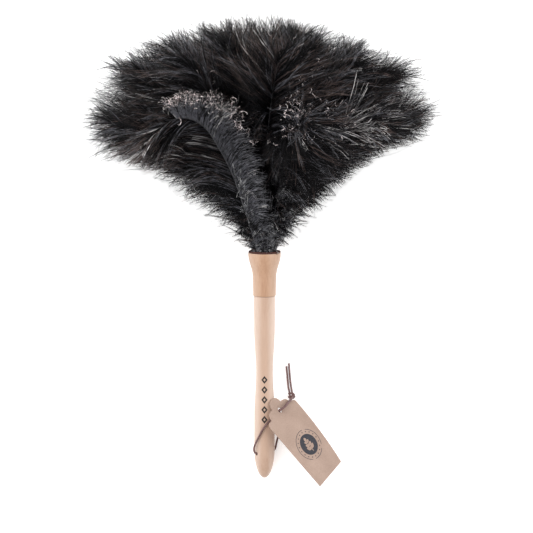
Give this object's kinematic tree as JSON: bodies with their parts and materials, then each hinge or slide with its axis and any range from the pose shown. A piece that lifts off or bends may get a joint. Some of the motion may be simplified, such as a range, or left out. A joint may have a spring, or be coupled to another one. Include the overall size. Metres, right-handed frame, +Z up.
{
  "type": "feather duster",
  "caption": "Feather duster with a turned wooden handle, a flared wooden collar, a wide plume of bound dark feathers, and a card tag knotted on with a cord.",
  "frame": {"origin": "on the surface that the duster lies on, under the middle of the duster measured without its cord and tag", "axes": "+Y from the handle's butt to the plume, +Z up, +X to the right as seen from above with the plume away"},
  "size_m": [0.3044, 0.4121, 0.1455],
  "materials": {
    "beech": "satin",
    "dark_beech": "satin",
    "plain_wood": "matte",
    "twine": "matte",
    "felt": "matte",
    "feather": "soft, with fine barbs",
    "cord": "waxed",
    "card": "uncoated kraft"
  },
  "bodies": {
    "duster": {"binding_1": "twine", "binding_2": "twine", "binding_3": "twine", "collar": "dark_beech", "cord_back_strand": "cord", "cord_front_strand": "cord", "cord_knot": "cord", "cord_long_tail": "cord", "cord_short_tail": "cord", "core_dowel": "plain_wood", "feather_inner_01": "feather", "feather_inner_02": "feather", "feather_inner_03": "feather", "feather_inner_04": "feather", "feather_inner_05": "feather", "feather_middle_01": "feather", "feather_middle_02": "feather", "feather_middle_03": "feather", "feather_middle_04": "feather", "feather_middle_05": "feather", "feather_middle_06": "feather", "feather_middle_07": "feather", "feather_middle_08": "feather", "feather_middle_09": "feather", "feather_middle_10": "feather", "feather_middle_11": "feather", "feather_outer_01": "feather", "feather_outer_02": "feather", "feather_outer_03": "feather", "feather_outer_04": "feather", "feather_outer_05": "feather", "feather_outer_06": "feather", "feather_outer_07": "feather", "feather_outer_08": "feather", "feather_outer_09": "feather", "feather_outer_10": "feather", "feather_outer_11": "feather", "feather_outer_12": "feather", "feather_outer_13": "feather", "feather_upper_01": "feather", "feather_upper_02": "feather", "feather_upper_03": "feather", "feather_upper_04": "feather", "feather_upper_05": "feather", "feather_upper_06": "feather", "feather_upper_07": "feather", "feather_upper_08": "feather", "handle": "beech", "rim_felt": "felt"},
    "tag": {"tag": "card"}
  },
  "joints": [
    {"name": "tag_swing", "type": "hinge", "parent": "duster", "child": "tag", "pos_m": [0.01895, -0.14248, 0.0206], "axis": [0.5733, 0.3538, 0.7391], "range_deg": [-50, 0]}
  ]
}
